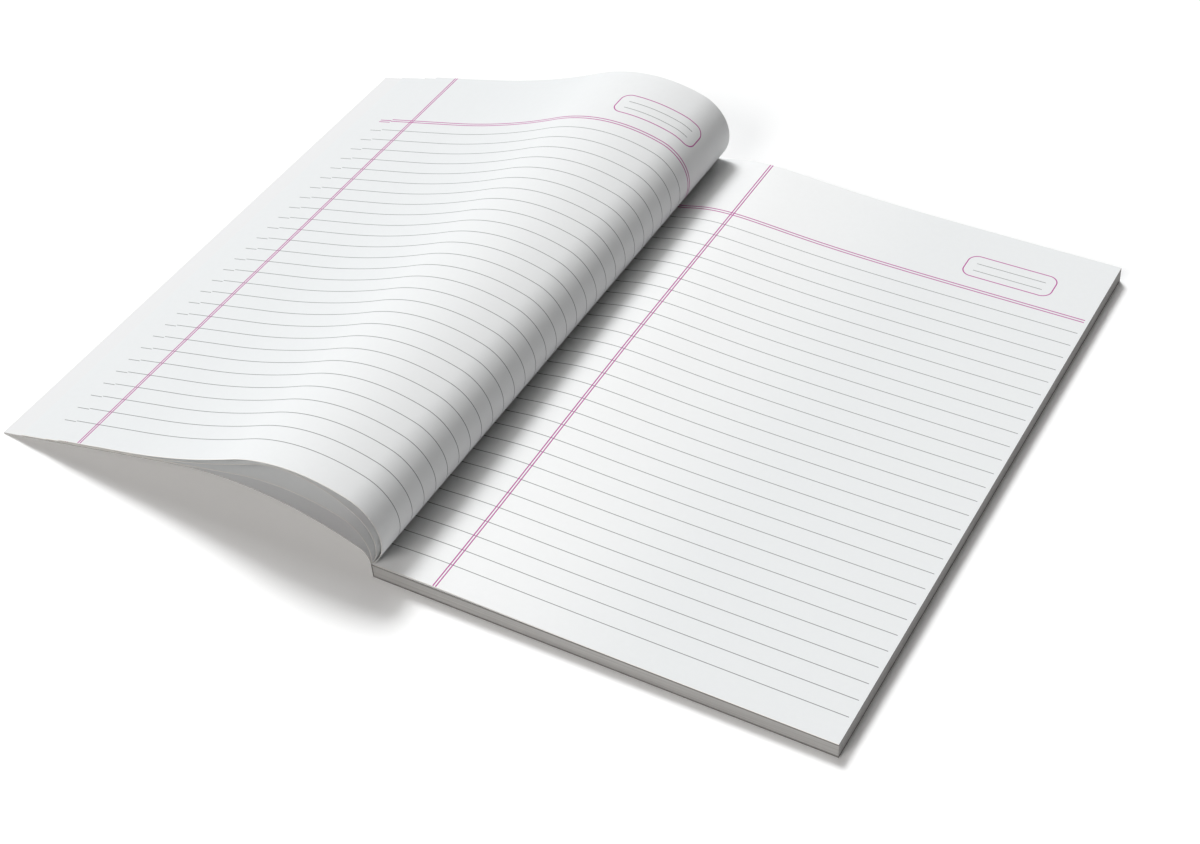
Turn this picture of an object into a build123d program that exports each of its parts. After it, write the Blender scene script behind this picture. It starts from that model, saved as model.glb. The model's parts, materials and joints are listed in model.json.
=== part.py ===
"""A stapled exercise book that lies open near its front, with three leaves turned over the front cover.

The sheets are folded once, nested in each other, wired through the fold and pressed to a square back.
Frame: x = 0 at the centre fold and +X towards the right-hand fore-edge, +Y towards the head of the page,
z = 0 on the surface that the book lies on. Sizes are in millimetres, angles in degrees.
"""
from build123d import *
import os
from math import acos, asin, atan2, copysign, cos, degrees, hypot, radians, sin

# Paper and card
page_height = 297.0
book_width = 200.0          # closed book, from the back of the spine to the fore-edge
paper = 0.08
card = 0.28
leaf_air = 0.011            # air between leaves that lie flat on each other
folded_sheets = 37          # sheets that lie whole in the right-hand block
crease_gap = 0.04           # slit that stands for a crease or a fold line

# How the cover curls over to the ground, from its crease outwards: (radius of the bend, angle it turns)
cover_bends = ((8.0, 67.0), (150.0, 35.0))

# How a turned leaf curls: heading at its foot, radii of its tight bend, wide bend and sag, dip of the sag
first_leaf_curl = (79.0, 18.0, 95.0, 0.0, 0.0)
second_leaf_curl = (56.0, 18.5, 48.0, 320.0, 11.5)
third_leaf_curl = (44.0, 19.5, 76.0, 300.0, 12.0)
rest_gap = 0.35             # air under the fore-edge of a turned leaf
foot_pitch = 0.36           # from one turned leaf to the next, where they leave the fold
foot_rise = 0.9             # height of the turned leaves' feet above the block
gutter_margin = 0.45        # from the last foot to the line where the facing leaf bends up

# Wire staples
wire = 0.5
staple_crown = 13.0
staple_clinch = 5.0
staple_spacing = 150.0
wire_bend = 0.5
wire_clearance = 0.08       # room around a leg in its slit, and around the clinched ends
wire_seat = 0.02            # air between the wire and what it lies on

# Places that follow from the sizes
turned_leaf_curls = (first_leaf_curl, second_leaf_curl, third_leaf_curl)
turned_leaf_names = ("first_leaf", "second_leaf", "third_leaf")
turned_sheets = len(turned_leaf_curls)
sheet_count = turned_sheets + folded_sheets
pitch = paper + leaf_air
spine_inside = -sheet_count * pitch
spine_back = spine_inside - leaf_air - card
fore_edge = spine_back + book_width
block_base = card + leaf_air
leaves_in_block = turned_sheets + 2 * folded_sheets
block_top = block_base + leaves_in_block * pitch - leaf_air
staple_level = block_base + sheet_count * pitch - leaf_air / 2


def fold_place(sheet):
    """Outer face of a sheet's fold; sheet 0 is the outermost."""
    return spine_inside + sheet * pitch


def lower_leaf(sheet):
    """Underside of the leaf that a sheet has in the lower half of the block."""
    return block_base + sheet * pitch


def upper_leaf(sheet):
    """Underside of the leaf that a folded sheet has in the upper half of the block."""
    return block_base + (leaves_in_block - 1 - (sheet - turned_sheets)) * pitch


def prism(points):
    """A section in the XZ plane, drawn as straight lines and drawn out over the height of the page."""
    return extrude(Plane.XZ * make_face(Polyline(*points, close=True)), page_height / 2, both=True)


def heading_vector(heading):
    return Vector(cos(radians(heading)), sin(radians(heading)))


def curl_end(foot, heading, bends, length):
    """End point and last heading of a strip that leaves its foot, bends and then runs straight."""
    point = Vector(*foot)
    for radius, turn in bends:
        centre_side = 90.0 if turn > 0 else -90.0
        centre = point + heading_vector(heading + centre_side) * radius
        heading += turn
        point = centre - heading_vector(heading + centre_side) * radius
        length -= radius * radians(abs(turn))
    return point + heading_vector(heading) * length, heading


def grounded_heading(foot, bends, length):
    """Heading at the foot of a strip whose far end comes down to the ground."""
    end, _ = curl_end(foot, 0.0, bends, length)
    reach = hypot(end.X - foot[0], end.Y - foot[1])
    end_bearing = degrees(atan2(end.Y - foot[1], end.X - foot[0]))
    return 180.0 + degrees(asin(foot[1] / reach)) - end_bearing


def lying_bends(foot, curl, seat, seat_heading, lift):
    """Bends of a leaf whose last run lies parallel to the run below it, at a lift above it.

    The leaf bends tight, then wide, then sags back by the dip. The heading where the tight bend passes
    into the wide one is what sets the height of the last run.
    """
    heading, tight, wide, sag, dip = curl
    foot_height = (Vector(*foot) - Vector(*seat)).dot(heading_vector(seat_heading - 90.0))
    tight_start = tight * cos(radians(seat_heading - heading))
    wide_end = (wide + sag) * cos(radians(dip)) - sag
    change = (foot_height - tight_start + wide_end - lift) / (wide - tight)
    middle = seat_heading - degrees(acos(change))
    bends = [(tight, middle - heading), (wide, seat_heading + dip - middle)]
    return bends + [(sag, -dip)] if dip else bends


def strip_side(foot, heading, bends, length, offset):
    """Edges of one side of a strip, at an offset to the right of its line of travel."""
    point = Vector(*foot) + heading_vector(heading - 90.0) * offset
    straight = length
    edges = []
    for radius, turn in bends:
        side_radius = radius + offset if turn > 0 else radius - offset
        edges.append(JernArc(point, heading_vector(heading), side_radius, turn))
        point = edges[-1] @ 1
        heading += turn
        straight -= radius * radians(abs(turn))
    edges.append(Line(point, point + heading_vector(heading) * straight))
    return edges


def curled_sheet(foot, heading, bends, length, thickness):
    """A sheet that curls over from its foot: two parallel sides of tangent arcs and straight runs."""
    under = strip_side(foot, heading, bends, length, 0.0)
    over = strip_side(foot, heading, bends, length, thickness)
    ends = [Line(under[0] @ 0, over[0] @ 0), Line(under[-1] @ 1, over[-1] @ 1)]
    return extrude(Plane.XZ * make_face(under + over + ends), page_height / 2, both=True)


def block_between(low, high):
    """A box given by its lowest and highest corners."""
    size = [b - a for a, b in zip(low, high)]
    middle = [(a + b) / 2 for a, b in zip(low, high)]
    return Pos(*middle) * Box(*size)


def staple_slits():
    """Slits that the legs pierce in the spine and folds, and the beds of the clinched ends in the paper."""
    half = wire / 2 + wire_clearance
    cuts = Part()
    for middle in (-staple_spacing / 2, staple_spacing / 2):
        for leg in (middle - staple_crown / 2, middle + staple_crown / 2):
            cuts += block_between(
                (spine_back - card, leg - half, staple_level - half),
                (0.0, leg + half, staple_level + half),
            )
            clinch_end = leg + copysign(staple_clinch + wire_clearance, middle - leg)
            outside = leg - copysign(half, middle - leg)
            cuts += block_between(
                (0.0, min(clinch_end, outside), staple_level - half),
                (wire + 2 * wire_clearance, max(clinch_end, outside), staple_level + half),
            )
    return cuts


def staple(middle):
    """One wire staple: crown on the back of the spine, legs through the fold, ends clinched inside it."""
    crown_x = spine_back - wire_seat - wire / 2
    clinch_x = wire_seat + wire / 2
    end_y = staple_crown / 2 - staple_clinch
    route = [(clinch_x, end_y), (clinch_x, staple_crown / 2), (crown_x, staple_crown / 2)]
    route += [(x, -y) for x, y in reversed(route)]
    path = FilletPolyline(*[(x, y + middle, staple_level) for x, y in route], radius=wire_bend)
    return sweep(Plane(path @ 0, z_dir=path % 0) * Circle(wire / 2), path=path)


slits = staple_slits()
pieces = {}

# Card cover, creased into back cover, spine and front cover
pieces["back_cover"] = prism(
    [
        (spine_back + card + crease_gap, 0.0),
        (fore_edge, 0.0),
        (fore_edge, card),
        (spine_back + card + crease_gap, card),
    ]
)
pieces["spine"] = prism(
    [(spine_back, 0.0), (spine_back + card, 0.0), (spine_back + card, block_top), (spine_back, block_top)]
) - slits
cover_foot = (spine_back, block_top + crease_gap)
cover_length = book_width - crease_gap
cover_heading = grounded_heading(cover_foot, cover_bends, cover_length)
pieces["front_cover"] = curled_sheet(cover_foot, cover_heading, cover_bends, cover_length, card)

# Turned sheets: the back leaf and fold stay in the block, the front leaf curls over onto the piece below
seat, seat_heading = curl_end(cover_foot, cover_heading, cover_bends, cover_length)
seat_thickness = card
first_foot = spine_back + card + foot_pitch / 2
for sheet, (name, curl) in enumerate(zip(turned_leaf_names, turned_leaf_curls)):
    fold, level = fold_place(sheet), lower_leaf(sheet)
    pieces[f"sheet_{sheet + 1:02d}_back"] = prism(
        [
            (fold, level),
            (fore_edge, level),
            (fore_edge, level + paper),
            (fold + paper, level + paper),
            (fold + paper, block_top),
            (fold, block_top),
        ]
    ) - slits
    foot = (first_foot + sheet * foot_pitch, block_top + foot_rise)
    length = fore_edge - fold - foot_rise
    heading = curl[0]
    bends = lying_bends(foot, curl, seat, seat_heading, seat_thickness + rest_gap)
    pieces[name] = curled_sheet(foot, heading, bends, length, paper)
    seat, seat_heading = curl_end(foot, heading, bends, length)
    seat_thickness = paper
gutter = foot[0] + gutter_margin

# Facing leaf: the top page of the block, which bends up along the gutter
facing_level = upper_leaf(turned_sheets)
pieces["fourth_leaf"] = prism(
    [
        (gutter + crease_gap, facing_level),
        (fore_edge, facing_level),
        (fore_edge, facing_level + paper),
        (gutter + crease_gap, facing_level + paper),
    ]
)

# Folded sheets, nested; the outermost ends its upper leaf at the gutter, where the facing leaf goes on
for sheet in range(turned_sheets, sheet_count):
    fold, low, high = fold_place(sheet), lower_leaf(sheet), upper_leaf(sheet)
    upper_end = gutter if sheet == turned_sheets else fore_edge
    pieces[f"sheet_{sheet + 1:02d}"] = prism(
        [
            (fold, low),
            (fore_edge, low),
            (fore_edge, low + paper),
            (fold + paper, low + paper),
            (fold + paper, high),
            (upper_end, high),
            (upper_end, high + paper),
            (fold, high + paper),
        ]
    ) - slits

pieces["staple_head"] = staple(staple_spacing / 2)
pieces["staple_tail"] = staple(-staple_spacing / 2)

os.makedirs("parts", exist_ok=True)
for name, piece in pieces.items():
    export_step(piece, f"parts/{name}.step")
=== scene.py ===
import json
import math

import bpy
from mathutils import Matrix, Vector


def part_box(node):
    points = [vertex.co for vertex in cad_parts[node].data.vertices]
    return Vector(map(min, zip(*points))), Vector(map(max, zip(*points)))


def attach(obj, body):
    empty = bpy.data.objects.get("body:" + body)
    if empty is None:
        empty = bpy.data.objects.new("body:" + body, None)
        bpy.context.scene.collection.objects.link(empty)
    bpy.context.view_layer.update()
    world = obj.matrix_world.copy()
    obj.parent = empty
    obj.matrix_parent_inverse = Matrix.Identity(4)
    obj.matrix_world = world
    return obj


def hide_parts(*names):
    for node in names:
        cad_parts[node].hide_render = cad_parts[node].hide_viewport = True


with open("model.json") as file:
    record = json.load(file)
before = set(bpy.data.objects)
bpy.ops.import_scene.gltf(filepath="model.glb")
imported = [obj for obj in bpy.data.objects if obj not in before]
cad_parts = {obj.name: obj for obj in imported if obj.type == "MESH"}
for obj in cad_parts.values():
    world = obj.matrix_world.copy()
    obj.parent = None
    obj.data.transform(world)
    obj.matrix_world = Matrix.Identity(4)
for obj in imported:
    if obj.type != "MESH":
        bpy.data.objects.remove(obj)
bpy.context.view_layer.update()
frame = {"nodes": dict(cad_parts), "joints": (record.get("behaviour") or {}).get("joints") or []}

# Folded sheets: forty sheets of white writing paper, folded once and nested in each other.
# They are cut flush on three sides, so the leaves show as fine lines along tail and fore-edge.
# Wire through the fold holds them, and their printed page shows where the facing leaf lifts.
page_width = 0.200
page_height = 0.297
head_edge = page_height / 2
spine_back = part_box("spine")[0].x
fore_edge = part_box("sheet_05")[1].x
facing_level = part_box("fourth_leaf")[0].z
cut_depth = 0.00002
line_pitch = 0.00866
first_rule = 0.05016
rule_count = 28
rule_width = 0.00030
rule_stop = 0.0020
header_line = 0.0415
header_gap = 0.0015
margin_line = 0.0294
margin_gap = 0.0012
ink_line_width = 0.00052
ink_spread = 0.00010
panel_middle = (0.1580, 0.0258)
panel_half = (0.0205, 0.0072)
panel_corner = 0.0045
panel_lines = (0.0238, 0.0288)
rule_grey = (0.13, 0.13, 0.137, 1.0)
ink_mauve = (0.43, 0.05, 0.285, 1.0)
# Paper colour with painted light: brighter within 40 mm of the fold, fading to darker by 130 mm from it.
paper_painted_lit_by_fold = (0.856, 0.864, 0.866, 1.0)
paper_painted_dim_by_edge = (0.768, 0.783, 0.790, 1.0)
painted_light_full_width = 0.040
painted_light_gone_width = 0.130
paper_clouds = (0.972, 0.971, 0.970)
cloud_grain = 420.0
cloud_detail = 3.0
paper_roughness = 0.84
tooth_grain = 5200.0
tooth_detail = 2.0
tooth_roughness = 0.1
tooth_relief = 0.00002
cut_edge_light = (0.54, 0.53, 0.52, 1.0)
cut_edge_dark = (0.31, 0.302, 0.293, 1.0)
# Painted shade for the cut edges: along the foot of the block, beside the fold and just under the facing
# leaf.
cut_edge_painted_shade = (0.10, 0.095, 0.09, 1.0)
leaf_line_grain = (14.0, 14.0, 5200.0)
leaf_line_detail = 4.0
leaf_line_share = 0.55
bundle_grain = (9.0, 9.0, 900.0)
bundle_detail = 2.0
edge_tone_floor = 0.3
edge_tone_contrast = 2.2
foot_shade_height = 0.0013
top_shade_height = 0.0010
fold_shade_full = 0.00025
fold_shade_end = 0.00075


class Field:
    """A socket in a node tree that can stand in sums, and the tree that its nodes go into."""

    def __init__(self, tree, socket=None):
        self.tree = tree
        self.socket = socket

    def node(self, kind, settings, sockets, output=0):
        made = self.tree.nodes.new(kind)
        for name, value in settings.items():
            setattr(made, name, value)
        for name, value in sockets.items():
            if isinstance(value, Field):
                self.tree.links.new(value.socket, made.inputs[name])
            else:
                made.inputs[name].default_value = value
        return Field(self.tree, made.outputs[output])

    def math(self, operation, *others):
        return self.node("ShaderNodeMath", {"operation": operation}, dict(enumerate((self, *others))))

    def object_place(self):
        return self.node("ShaderNodeTexCoord", {}, {}, "Object")

    def axis(self, name):
        return self.node("ShaderNodeSeparateXYZ", {}, {"Vector": self}, name)

    def stretched(self, factors):
        return self.node("ShaderNodeVectorMath", {"operation": "MULTIPLY"}, {0: self, 1: factors})

    def noise(self, detail, scale=1.0):
        return self.node("ShaderNodeTexNoise", {}, {"Vector": self, "Scale": scale, "Detail": detail})

    def mix(self, without, with_it):
        return self.node("ShaderNodeMix", {"data_type": "RGBA"}, {0: self, 6: without, 7: with_it}, 2)

    def at_least(self, other):
        return self.math("MAXIMUM", other)

    def at_most(self, other):
        return self.math("MINIMUM", other)

    def within(self, low, high):
        return self.at_least(low).at_most(high)

    def ramp(self, start, end):
        """0 up to the start, 1 from the end on, and even in between; the end may be the lower one."""
        return ((self - start) / (end - start)).within(0.0, 1.0)

    def eased(self):
        """A ramp with soft ends."""
        return self * self * (3.0 - 2.0 * self)

    def __add__(self, other):
        return self.math("ADD", other)

    def __sub__(self, other):
        return self.math("SUBTRACT", other)

    def __rsub__(self, other):
        return self.node("ShaderNodeMath", {"operation": "SUBTRACT"}, {0: other, 1: self})

    def __mul__(self, other):
        return self.math("MULTIPLY", other)

    def __truediv__(self, other):
        return self.math("DIVIDE", other)

    def __mod__(self, other):
        return self.math("FLOORED_MODULO", other)

    def __abs__(self):
        return self.math("ABSOLUTE")

    def __lt__(self, other):
        return self.math("LESS_THAN", other)

    def __gt__(self, other):
        return self.math("GREATER_THAN", other)

    __radd__ = __add__
    __rmul__ = __mul__


def new_finish(name):
    """A new material, and its node tree as a field."""
    material = bpy.data.materials.new(name)
    material.use_nodes = True
    return material, Field(material.node_tree)


def printed_line(distance, width):
    """1 on a line of that width and 0 beside it, with the slight spread of ink in paper."""
    return distance.ramp((width + ink_spread) / 2, (width - ink_spread) / 2)


def double_line(place, middle, gap):
    """Two fine parallel lines."""
    return printed_line(abs(abs(place - middle) - gap / 2), ink_line_width)


def name_panel(across, down):
    """A plain rounded frame, and two lines to write on in it."""
    straight_half = panel_half[0] - panel_corner
    upright_half = panel_half[1] - panel_corner
    aside = abs(across - panel_middle[0])
    past_side = (aside - straight_half).at_least(0.0)
    past_top = (abs(down - panel_middle[1]) - upright_half).at_least(0.0)
    reach = (past_side * past_side + past_top * past_top).math("SQRT")
    outline = printed_line(abs(reach - panel_corner), ink_line_width)
    to_line = abs(down - panel_lines[0]).at_most(abs(down - panel_lines[1]))
    lines = printed_line(to_line, rule_width) * (aside < straight_half)
    return outline, lines


def printed_page(paper, across, down, printed):
    """The print of a page on its paper: grey rules, and mauve header, margin and name panel."""
    half_pitch = line_pitch / 2
    rules_top = first_rule - half_pitch
    rules_end = rules_top + rule_count * line_pitch
    to_rule = abs((down - rules_top) % line_pitch - half_pitch)
    rules = printed_line(to_rule, rule_width) * (down > rules_top) * (down < rules_end)
    panel, panel_rules = name_panel(across, down)
    rules = rules.at_least(panel_rules) * printed
    header = double_line(down, header_line, header_gap)
    margin = double_line(across, margin_line, margin_gap)
    ink = header.at_least(margin).at_least(panel) * printed
    return ink.mix(rules.mix(paper, rule_grey), ink_mauve)


def writing_paper(place, from_fold):
    """White paper, slightly cloudy, with painted light: brightest near the fold, a little darker towards
    the fore-edge.
    """
    painted_falloff = from_fold.ramp(painted_light_full_width, painted_light_gone_width).eased()
    paper = painted_falloff.mix(paper_painted_lit_by_fold, paper_painted_dim_by_edge)
    return place.noise(cloud_detail, cloud_grain).mix(paper, paper.stretched(paper_clouds))


def dress(material, colour, roughness, height, relief):
    """Joins a material's colour, roughness and relief to its shader."""
    shader = material.node_tree.nodes["Principled BSDF"]
    bump = colour.node("ShaderNodeBump", {}, {"Distance": relief, "Height": height})
    for socket, value in (("Base Color", colour), ("Roughness", roughness), ("Normal", bump)):
        material.node_tree.links.new(value.socket, shader.inputs[socket])
    return shader


def dress_paper(material, place, colour, cut_lines):
    """Gives a paper its colour, its matt tooth and the relief of its cut edges."""
    tooth = place.noise(tooth_detail, tooth_grain)
    roughness = paper_roughness + tooth * tooth_roughness
    dress(material, colour, roughness, tooth + cut_lines, tooth_relief)


def clad(node, material):
    """Puts one material on a piece from the CAD model."""
    node.data.materials.clear()
    node.data.materials.append(material)


block_paper, tree = new_finish("block_paper")
place = tree.object_place()
across = place.axis("X") - spine_back
from_middle = abs(place.axis("Y"))
paper = writing_paper(place, across)
in_print = (across < page_width - rule_stop) * (from_middle < head_edge - rule_stop)
page = printed_page(paper, across, head_edge - place.axis("Y"), in_print)
leaf_lines = place.stretched(leaf_line_grain).noise(leaf_line_detail)
bundles = place.stretched(bundle_grain).noise(bundle_detail)
edge_tone = leaf_lines * leaf_line_share + bundles * (1.0 - leaf_line_share)
edge_tone = ((edge_tone - edge_tone_floor) * edge_tone_contrast).within(0.0, 1.0)
cut = (from_middle > head_edge - cut_depth).at_least(place.axis("X") > fore_edge - cut_depth)
# Painted shade on the cut edges: near black along the foot, beside the fold at the spine and in a line
# under the facing leaf.
painted_shade_at_foot = place.axis("Z").ramp(foot_shade_height, 0.0)
painted_shade_at_fold = across.ramp(fold_shade_end, fold_shade_full)
painted_shade_under_facing_leaf = (facing_level - place.axis("Z")).ramp(top_shade_height, 0.0)
shaded = painted_shade_at_foot.at_least(painted_shade_at_fold).at_least(painted_shade_under_facing_leaf)
cut_edge = shaded.mix(edge_tone.mix(cut_edge_dark, cut_edge_light), cut_edge_painted_shade)
dress_paper(block_paper, place, cut.mix(page, cut_edge), leaf_lines * cut)
for name, node in frame["nodes"].items():
    if name.startswith("sheet_"):
        clad(node, block_paper)

# Wire staples: two pieces of round steel wire, drawn bright, through spine and folds.
# The crown lies on the back of the spine and the legs are clinched inside the innermost fold.
wire_diameter = 0.0005
wire_facets = 16
wire_bend = 0.0005
bend_facets = 6
staple_count = 2
staple_crown = 0.013
staple_clinch = 0.005
staple_corners = 6
wire_bright = (0.62, 0.62, 0.63, 1.0)
wire_dull = (0.40, 0.40, 0.41, 1.0)
wire_roughness = 0.2
draw_grain = (9000.0, 160.0, 9000.0)
draw_detail = 3.0
draw_roughness = 0.25
draw_relief = 0.00001
crisp_angle = 1.0


def rule_tree(name, sizes):
    """An empty Geometry Nodes tree with named sizes, and those sizes as fields."""
    tree = bpy.data.node_groups.new(name, "GeometryNodeTree")
    tree.interface.new_socket(name="Finish", in_out="INPUT", socket_type="NodeSocketMaterial")
    for size in sizes:
        tree.interface.new_socket(name=size, in_out="INPUT", socket_type="NodeSocketFloat")
    tree.interface.new_socket(name="Piece", in_out="OUTPUT", socket_type="NodeSocketGeometry")
    entry = tree.nodes.new("NodeGroupInput")
    return tree, {socket.name: Field(tree, socket) for socket in entry.outputs if socket.name}


def close_tree(tree, shape, sizes):
    """Ends a tree: smooth faces with crisp edges, no instances left, and the piece's material."""
    shape = shape.node("GeometryNodeRealizeInstances", {}, {"Geometry": shape})
    shape = shape.node("GeometryNodeSetShadeSmooth", {"domain": "FACE"}, {"Geometry": shape})
    edge = shape.node("GeometryNodeInputMeshEdgeAngle", {}, {}, "Unsigned Angle") > crisp_angle
    crisp = {"Geometry": shape, "Selection": edge, "Shade Smooth": False}
    shape = shape.node("GeometryNodeSetShadeSmooth", {"domain": "EDGE"}, crisp)
    shape = shape.node("GeometryNodeSetMaterial", {}, {"Geometry": shape, "Material": sizes["Finish"]})
    tree.links.new(shape.socket, tree.nodes.new("NodeGroupOutput").inputs[0])


def piece_from(tree, name, values):
    """A plain mesh piece made by a tree with these values for its sizes."""
    holder = bpy.data.objects.new(name + "_rule", bpy.data.meshes.new(name + "_rule"))
    bpy.context.scene.collection.objects.link(holder)
    rule = holder.modifiers.new(name, "NODES")
    rule.node_group = tree
    for socket in tree.interface.items_tree:
        if socket.in_out == "INPUT":
            rule[socket.identifier] = values[socket.name]
    ready = bpy.context.evaluated_depsgraph_get()
    mesh = bpy.data.meshes.new_from_object(
        holder.evaluated_get(ready), preserve_all_data_layers=True, depsgraph=ready
    )
    bpy.data.objects.remove(holder)
    mesh.name = name
    piece = bpy.data.objects.new(name, mesh)
    bpy.context.scene.collection.objects.link(piece)
    return piece


staple_tree, size = rule_tree(
    "wire_staples", ("Wire", "Crown", "Clinch", "Bend", "Crown X", "Clinch X", "Level", "Spacing")
)
route = Field(staple_tree).node("GeometryNodeMeshLine", {}, {"Count": staple_corners})
from_centre = route.node("GeometryNodeInputIndex", {}, {}) - (staple_corners - 1) / 2
on_crown = abs(from_centre) < 1.0
at_end = abs(from_centre) > 2.0
route_x = size["Clinch X"] + on_crown * (size["Crown X"] - size["Clinch X"])
route_y = from_centre.math("SIGN") * (size["Crown"] / 2 - at_end * size["Clinch"])
route_point = route.node("ShaderNodeCombineXYZ", {}, {"X": route_x, "Y": route_y, "Z": size["Level"]})
route = route.node("GeometryNodeSetPosition", {}, {"Geometry": route, "Position": route_point})
route = route.node("GeometryNodeMeshToCurve", {}, {"Mesh": route})
bend = {"Curve": route, "Radius": size["Bend"], "Count": bend_facets}
route = route.node("GeometryNodeFilletCurve", {"mode": "POLY"}, bend)
round_wire = {"Resolution": wire_facets, "Radius": size["Wire"] / 2}
ring = route.node("GeometryNodeCurvePrimitiveCircle", {}, round_wire)
drawn = {"Curve": route, "Profile Curve": ring, "Fill Caps": True}
staple = route.node("GeometryNodeCurveToMesh", {}, drawn)
first_place = route.node("ShaderNodeCombineXYZ", {}, {"Y": size["Spacing"] * (1 - staple_count) / 2})
step = route.node("ShaderNodeCombineXYZ", {}, {"Y": size["Spacing"]})
row = {"Count": staple_count, "Start Location": first_place, "Offset": step}
places = route.node("GeometryNodeMeshLine", {}, row)
both = route.node("GeometryNodeInstanceOnPoints", {}, {"Points": places, "Instance": staple})
close_tree(staple_tree, both, size)

staple_wire, tree = new_finish("staple_wire")
draw_marks = tree.object_place().stretched(draw_grain).noise(draw_detail)
colour = draw_marks.mix(wire_bright, wire_dull)
shader = dress(staple_wire, colour, wire_roughness + draw_marks * draw_roughness, draw_marks, draw_relief)
shader.inputs["Metallic"].default_value = 1.0
staple_low, staple_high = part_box("staple_head")
staples = piece_from(
    staple_tree,
    "staples",
    {
        "Finish": staple_wire,
        "Wire": wire_diameter,
        "Crown": staple_crown,
        "Clinch": staple_clinch,
        "Bend": wire_bend,
        "Crown X": staple_low.x + wire_diameter / 2,
        "Clinch X": staple_high.x - wire_diameter / 2,
        "Level": (staple_low.z + staple_high.z) / 2,
        "Spacing": staple_low.y + staple_high.y,
    },
)
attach(staples, "block")
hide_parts("staple_head", "staple_tail")

# Card cover: one sheet of thin card with a linen finish outside, creased twice into back, spine and front.
# The spine is pressed square. The front is turned right over: it arches up from its crease
# and comes down on its outer face, with its fore-edge on the table.
card_thickness = 0.00028
crease_gap = 0.00004
spine_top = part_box("spine")[1].z
spine_inside = spine_back + card_thickness
cover_foot = (spine_back, spine_top + crease_gap)
cover_length = page_width - crease_gap
no_bend = (1.0, 0.0)
cover_bends = ((0.008, 67.0), (0.150, 35.0), no_bend)
# The card's white inside, with the same painted shade as the left-hand pages.
card_inside_with_painted_shade = (0.715, 0.718, 0.724, 1.0)
card_outside = (0.60, 0.585, 0.565, 1.0)
card_outside_deep = (0.53, 0.515, 0.495, 1.0)
card_core = (0.40, 0.385, 0.36, 1.0)
# Painted shade: the cut edges of spine and back cover, near black for the gap by the spine and the table
# contact.
card_edge_painted_shade = (0.12, 0.115, 0.11, 1.0)
card_roughness = 0.5
thread_grain = 2600.0
thread_run = 300.0
linen_detail = 2.0
linen_roughness = 0.2
linen_relief = 0.00003
points_along = 261
points_up = 49
never_zero = 1e-9
left_margin_line = 0.0127
left_print_scale = 0.9435
ripple_grain = 16.0
ripple_detail = 1.0
ripple_stretch = 0.6
loose_reach = 0.06
bow_place = 0.028
bow_sharpness = 1.6
bow_rise = (-0.47, 0.10)


def toward(heading):
    """A unit step across the fold, as run and rise, at a heading in degrees."""
    return Vector((math.cos(math.radians(heading)), math.sin(math.radians(heading))))


def curl_end(foot, heading, bends, length):
    """Far end and last heading of a sheet that leaves its foot, bends and then runs straight."""
    point = Vector(foot)
    for radius, turn in bends:
        centre_side = math.copysign(90.0, turn)
        centre = point + toward(heading + centre_side) * radius
        heading += turn
        point = centre - toward(heading + centre_side) * radius
        length -= radius * math.radians(abs(turn))
    return point + toward(heading) * length, heading


def grounded_heading(foot, bends, length):
    """Heading at the foot of a sheet whose far end comes down to the table."""
    end, _ = curl_end(foot, 0.0, bends, length)
    reach = end - Vector(foot)
    fall = math.degrees(math.asin(foot[1] / reach.length))
    return 180.0 + fall - math.degrees(math.atan2(reach.y, reach.x))


def linen(place):
    """The woven relief that is pressed into the card: threads along and across."""
    warp = place.stretched((thread_grain, thread_run, thread_grain)).noise(linen_detail)
    weft = place.stretched((thread_run, thread_grain, thread_run)).noise(linen_detail)
    return warp.at_least(weft)


def stored(finish, name):
    """A value that a sheet's tree has stored on its points."""
    return finish.node("ShaderNodeAttribute", {"attribute_name": name}, {}, "Fac")


sheet_tree, size = rule_tree(
    "curled_sheet",
    (
        "Foot X", "Foot Z", "Heading", "Radius 1", "Turn 1", "Radius 2", "Turn 2", "Radius 3", "Turn 3",
        "Length", "Height", "Thickness", "Upper Side", "Page Width", "Left Border", "Right Border",
        "Waviness", "Tail Bow", "Head Bow", "Bow Place",
    ),
)
box_size = Field(sheet_tree).node(
    "ShaderNodeCombineXYZ", {}, {"X": size["Length"], "Y": size["Height"], "Z": size["Thickness"]}
)
counts = {"Size": box_size, "Vertices X": points_along, "Vertices Y": points_up, "Vertices Z": 2}
shape = box_size.node("GeometryNodeMeshCube", {}, counts)
point = box_size.node("GeometryNodeInputPosition", {}, {})
along = point.axis("X") + size["Length"] / 2
sheet_y = point.axis("Y") * size["Upper Side"] * -1.0
offset = point.axis("Z") + size["Thickness"] / 2
ripple_place = box_size.node("ShaderNodeCombineXYZ", {}, {"X": along, "Y": sheet_y * ripple_stretch})
ripple = ripple_place.noise(ripple_detail, ripple_grain)
loose = along.ramp(0.0, loose_reach)
offset = offset + size["Waviness"] * ripple * loose * loose
sheet_x = size["Foot X"]
sheet_z = size["Foot Z"]
heading = size["Heading"]
here = heading
start = 0.0
for bend in ("1", "2", "3"):
    radius = size["Radius " + bend]
    turn = size["Turn " + bend]
    way = radius * abs(turn)
    arm = radius * turn.math("SIGN")
    angle = (along - start).within(0.0, way) / (arm + never_zero)
    reached = heading + angle
    sheet_x = sheet_x + arm * (reached.math("SINE") - heading.math("SINE"))
    sheet_z = sheet_z + arm * (heading.math("COSINE") - reached.math("COSINE"))
    here = here + angle
    heading = heading + turn
    start = way + start
straight = (along - start).at_least(0.0)
sheet_x = sheet_x + straight * heading.math("COSINE")
sheet_z = sheet_z + straight * heading.math("SINE")
sheet_x = sheet_x + offset * size["Upper Side"] * here.math("SINE")
sheet_z = sheet_z - offset * size["Upper Side"] * here.math("COSINE")
bow_reach = along / size["Bow Place"]
bow_shape = bow_reach * (1.0 - bow_reach).math("EXPONENT")
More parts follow.
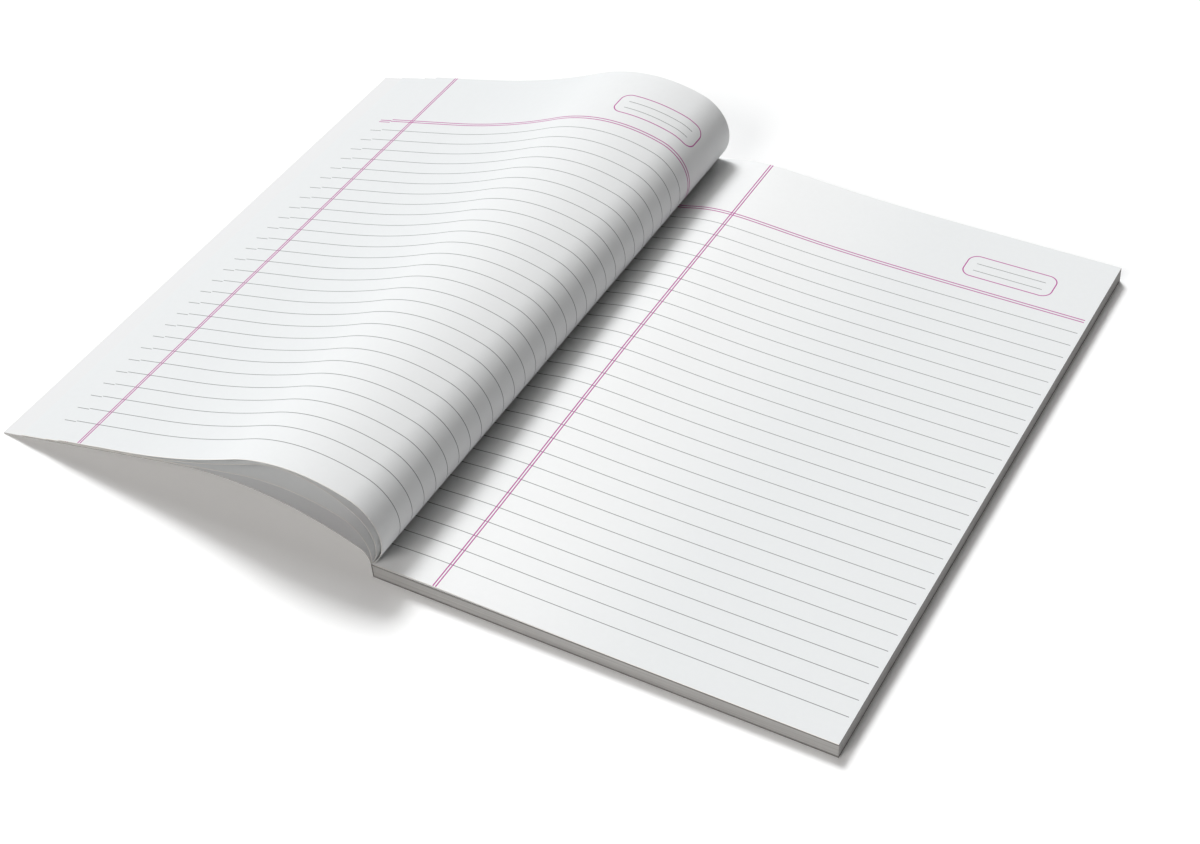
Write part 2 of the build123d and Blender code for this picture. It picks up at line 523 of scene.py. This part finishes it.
from_tail = (sheet_y / size["Height"]).ramp(*bow_rise)
bow = size["Tail Bow"] + (size["Head Bow"] - size["Tail Bow"]) * from_tail.eased()
sheet_z = sheet_z + bow * bow_shape.math("POWER", bow_sharpness)
from_fore_edge = size["Length"] - along
from_fold = size["Page Width"] - from_fore_edge
left_page = point.axis("Z") * size["Upper Side"] > 0.0
left_across = margin_line + (from_fore_edge - left_margin_line) * left_print_scale
border = size["Right Border"] + left_page * (size["Left Border"] - size["Right Border"])
page_marks = {
    "across": from_fold + left_page * (left_across - from_fold),
    "down": size["Height"] / 2 - sheet_y,
    "from_fold": from_fold,
    "left_page": left_page,
    "in_print": from_fore_edge - border,
}
for name, value in page_marks.items():
    mark = {"Geometry": shape, "Name": name, "Value": value}
    shape = shape.node("GeometryNodeStoreNamedAttribute", {"data_type": "FLOAT", "domain": "POINT"}, mark)
curled = shape.node("ShaderNodeCombineXYZ", {}, {"X": sheet_x, "Y": sheet_y, "Z": sheet_z})
shape = shape.node("GeometryNodeSetPosition", {}, {"Geometry": shape, "Position": curled})
close_tree(sheet_tree, shape, size)


def curled_sheet(
    name, finish, foot, heading, bends, length, thickness,
    upper_side=1.0, left_border=0.0, waviness=0.0, bow=(0.0, 0.0),
):
    """A sheet that leaves its foot at a heading, bends three times and then runs straight."""
    values = {
        "Finish": finish, "Foot X": foot[0], "Foot Z": foot[1], "Heading": math.radians(heading),
        "Length": length, "Height": page_height, "Thickness": thickness, "Upper Side": upper_side,
        "Page Width": page_width, "Left Border": left_border, "Right Border": rule_stop,
        "Waviness": waviness, "Tail Bow": bow[0], "Head Bow": bow[1], "Bow Place": bow_place,
    }
    for number, (radius, turn) in enumerate(bends, 1):
        values[f"Radius {number}"] = radius
        values[f"Turn {number}"] = math.radians(turn)
    return piece_from(sheet_tree, name, values)


flat_card, tree = new_finish("flat_card")
place = tree.object_place()
x, y, z = (place.axis(name) for name in "XYZ")
inside = (z > card_thickness - cut_depth) * (x > spine_inside + cut_depth)
edge = (abs(y) > head_edge - cut_depth).at_least(x > fore_edge - cut_depth)
weave = linen(place)
outside = weave.mix(card_outside_deep, card_outside)
# The spine's and back cover's cut edges get painted shade of the gap beside the spine and the contact with
# the table.
colour = edge.mix(inside.mix(outside, card_inside_with_painted_shade), card_edge_painted_shade)
dress(flat_card, colour, card_roughness + weave * linen_roughness, weave, linen_relief)
for name in ("spine", "back_cover"):
    node = frame["nodes"][name]
    clad(node, flat_card)

curled_card, tree = new_finish("curled_card")
down = stored(tree, "down")
from_fold = stored(tree, "from_fold")
inside = stored(tree, "left_page")
weave = linen(tree.node("ShaderNodeCombineXYZ", {}, {"X": from_fold, "Y": down}))
outside = weave.mix(card_outside_deep, card_outside)
edge = (abs(down - head_edge) > head_edge - cut_depth).at_least(from_fold > page_width - cut_depth)
colour = edge.mix((inside > 0.5).mix(outside, card_inside_with_painted_shade), card_core)
relief = weave * (1.0 - inside)
dress(curled_card, colour, card_roughness + weave * linen_roughness, relief, linen_relief)
cover_heading = grounded_heading(cover_foot, cover_bends, cover_length)
front_cover = curled_sheet(
    "front_cover_card", curled_card, cover_foot, cover_heading, cover_bends, cover_length, card_thickness
)
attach(front_cover, "front_cover")
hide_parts("front_cover")

# Turned leaves: the front leaves of the three outermost sheets, turned over to the left onto the cover.
# Each springs up from the fold, bulges over and comes down on the one below it.
# They are printed on both sides; the left-hand page is painted a little darker, as painted shade.
leaf_thickness = 0.00008
rest_gap = 0.00035
leaf_edge = (0.80, 0.775, 0.74, 1.0)
leaf_edge_width = 0.00030
left_page_painted_shade = (0.946, 0.948, 0.950)
first_curl = {"heading": 79.0, "tight": 0.018, "wide": 0.095, "sag": 1.0, "dip": 0.0}
second_curl = {"heading": 56.0, "tight": 0.0185, "wide": 0.048, "sag": 0.320, "dip": 11.5}
third_curl = {"heading": 44.0, "tight": 0.0195, "wide": 0.076, "sag": 0.300, "dip": 12.0}
first_leaf_border = 0.016
third_leaf_waviness = 0.0004


def lying_bends(foot, seat, seat_heading, lift, heading, tight, wide, sag, dip):
    """Bends of a leaf that turns tight, then wide, then sags, and lies along what is below it.

    The heading where the tight bend passes into the wide one sets how high its last run lies.
    """
    foot_height = (Vector(foot) - seat).dot(toward(seat_heading - 90.0))
    tight_start = tight * math.cos(math.radians(seat_heading - heading))
    wide_end = (wide + sag) * math.cos(math.radians(dip)) - sag
    change = (foot_height - tight_start + wide_end - lift) / (wide - tight)
    middle = seat_heading - math.degrees(math.acos(change))
    return (tight, middle - heading), (wide, seat_heading + dip - middle), (sag, -dip)


leaf_paper, tree = new_finish("leaf_paper")
place = tree.object_place()
across = stored(tree, "across")
down = stored(tree, "down")
from_fold = stored(tree, "from_fold")
paper = writing_paper(place, from_fold)
# Painted shade: the left-hand page is made a little darker than the right-hand one.
paper = stored(tree, "left_page").mix(paper, paper.stretched(left_page_painted_shade))
page = printed_page(paper, across, down, stored(tree, "in_print") > 0.0)
edge = (down > page_height - leaf_edge_width).at_least(down < cut_depth)
edge = edge.at_least(from_fold > page_width - cut_depth)
dress_paper(leaf_paper, place, edge.mix(page, leaf_edge), 0.0)
seat, seat_heading = curl_end(cover_foot, cover_heading, cover_bends, cover_length)
lift = card_thickness + rest_gap
for name, sheet, curl, left_border, waviness in (
    ("first_leaf", "sheet_01_back", first_curl, first_leaf_border, 0.0),
    ("second_leaf", "sheet_02_back", second_curl, 0.0, 0.0),
    ("third_leaf", "sheet_03_back", third_curl, 0.0, third_leaf_waviness),
):
    hinge = next(joint["pos_m"] for joint in frame["joints"] if joint["name"] == name + "_hinge")
    foot = (hinge[0], hinge[2])
    length = fore_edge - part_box(sheet)[0].x - (foot[1] - spine_top)
    heading = curl["heading"]
    bends = lying_bends(foot, seat, seat_heading, lift, **curl)
    leaf = curled_sheet(
        name + "_page", leaf_paper, foot, heading, bends, length, leaf_thickness,
        left_border=left_border, waviness=waviness,
    )
    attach(leaf, name)
    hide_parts(name)
    seat, seat_heading = curl_end(foot, heading, bends, length)
    lift = leaf_thickness + rest_gap

# Facing leaf: the top leaf of the block and the right-hand page, still flat on the leaves below it.
# It bows up a little along the gutter at rest.
facing_low, facing_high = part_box("fourth_leaf")
facing_foot = (facing_low.x, facing_level)
facing_length = facing_high.x - facing_low.x
facing_bends = (no_bend, no_bend, no_bend)
facing_bow = (0.0009, 0.0041)
facing = curled_sheet(
    "fourth_leaf_page", leaf_paper, facing_foot, 0.0, facing_bends, facing_length, leaf_thickness,
    upper_side=-1.0, bow=facing_bow,
)
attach(facing, "fourth_leaf")
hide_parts("fourth_leaf")

# Setting: a white floor with a faint glow and a white backdrop, lit as in a studio, from far off.
# Two soft lights high behind the left page, one narrow and one wide, throw short shadows to the right
# and towards the tail. A weak light from the tail side and a warm, even light all round fill the shadows.
floor_reach = 60.0
floor_level = -0.0002
floor_tone = (0.99, 0.99, 0.99, 1.0)
floor_roughness = 0.9
floor_glow = 0.03
backdrop_white = (1.0, 1.0, 1.0, 1.0)
even_light = (1.0, 0.98, 0.958, 1.0)
even_strength = 0.085
high_left = (-2.65, 2.41, 4.82)
tail_side = (-0.8, -3.2, 2.0)
cool_white = (0.982, 0.993, 1.0)
warm_white = (1.0, 0.975, 0.95)
floor_corners = [
    (-floor_reach, -floor_reach, floor_level),
    (floor_reach, -floor_reach, floor_level),
    (floor_reach, floor_reach, floor_level),
    (-floor_reach, floor_reach, floor_level),
]
floor_mesh = bpy.data.meshes.new("floor")
floor_mesh.from_pydata(floor_corners, [], [(0, 1, 2, 3)])
floor = bpy.data.objects.new("floor", floor_mesh)
bpy.context.scene.collection.objects.link(floor)
floor_white, _ = new_finish("floor_white")
shader = floor_white.node_tree.nodes["Principled BSDF"]
shader.inputs["Base Color"].default_value = floor_tone
shader.inputs["Roughness"].default_value = floor_roughness
shader.inputs["Emission Color"].default_value = backdrop_white
shader.inputs["Emission Strength"].default_value = floor_glow
floor_mesh.materials.append(floor_white)
world = bpy.data.worlds.new("studio")
world.use_nodes = True
tree = Field(world.node_tree)
in_sight = tree.node("ShaderNodeLightPath", {}, {}, "Is Camera Ray")
backdrop = tree.node("ShaderNodeBackground", {}, {"Color": backdrop_white})
all_round = tree.node("ShaderNodeBackground", {}, {"Color": even_light, "Strength": even_strength})
studio = tree.node("ShaderNodeMixShader", {}, {0: in_sight, 1: all_round, 2: backdrop})
world.node_tree.links.new(studio.socket, world.node_tree.nodes["World Output"].inputs["Surface"])
bpy.context.scene.world = world
for name, source, angle, strength, tint in (
    ("key_light", high_left, 17.0, 2.00, cool_white),
    ("soft_light", high_left, 45.0, 1.06, cool_white),
    ("fill_light", tail_side, 36.0, 1.40, warm_white),
):
    light = bpy.data.lights.new(name, "SUN")
    light.angle = math.radians(angle)
    light.energy = strength
    light.color = tint
    lamp = bpy.data.objects.new(name, light)
    lamp.rotation_euler = Vector(source).to_track_quat("Z", "Y").to_euler()
    bpy.context.scene.collection.objects.link(lamp)
bpy.context.scene.view_settings.view_transform = "Standard"

# Camera: a long lens above the tail edge and to the right, turned slightly on its axis.
# Its place was fitted to the corners of the pages, the spine and the tail edge in the photo.
azimuth = math.radians(32.5402)
elevation = math.radians(42.597)
roll = math.radians(-4.7192)
aim = Vector((0.032838, -0.031648, 0.0))
distance = 0.89174
level = math.cos(elevation)
back = Vector((math.sin(azimuth) * level, -math.cos(azimuth) * level, math.sin(elevation)))
level_right = Vector((math.cos(azimuth), math.sin(azimuth), 0.0))
level_up = back.cross(level_right)
right = math.cos(roll) * level_right + math.sin(roll) * level_up
up = math.cos(roll) * level_up - math.sin(roll) * level_right
lens = bpy.data.cameras.new("camera")
lens.sensor_fit = "HORIZONTAL"
lens.sensor_width = 36.0
lens.lens = 63.62
lens.clip_start = 0.01
camera = bpy.data.objects.new("camera", lens)
camera_turn = Matrix((right, up, back)).transposed().to_4x4()
camera.matrix_world = Matrix.Translation(aim + distance * back) @ camera_turn
bpy.context.scene.collection.objects.link(camera)
bpy.context.scene.camera = camera
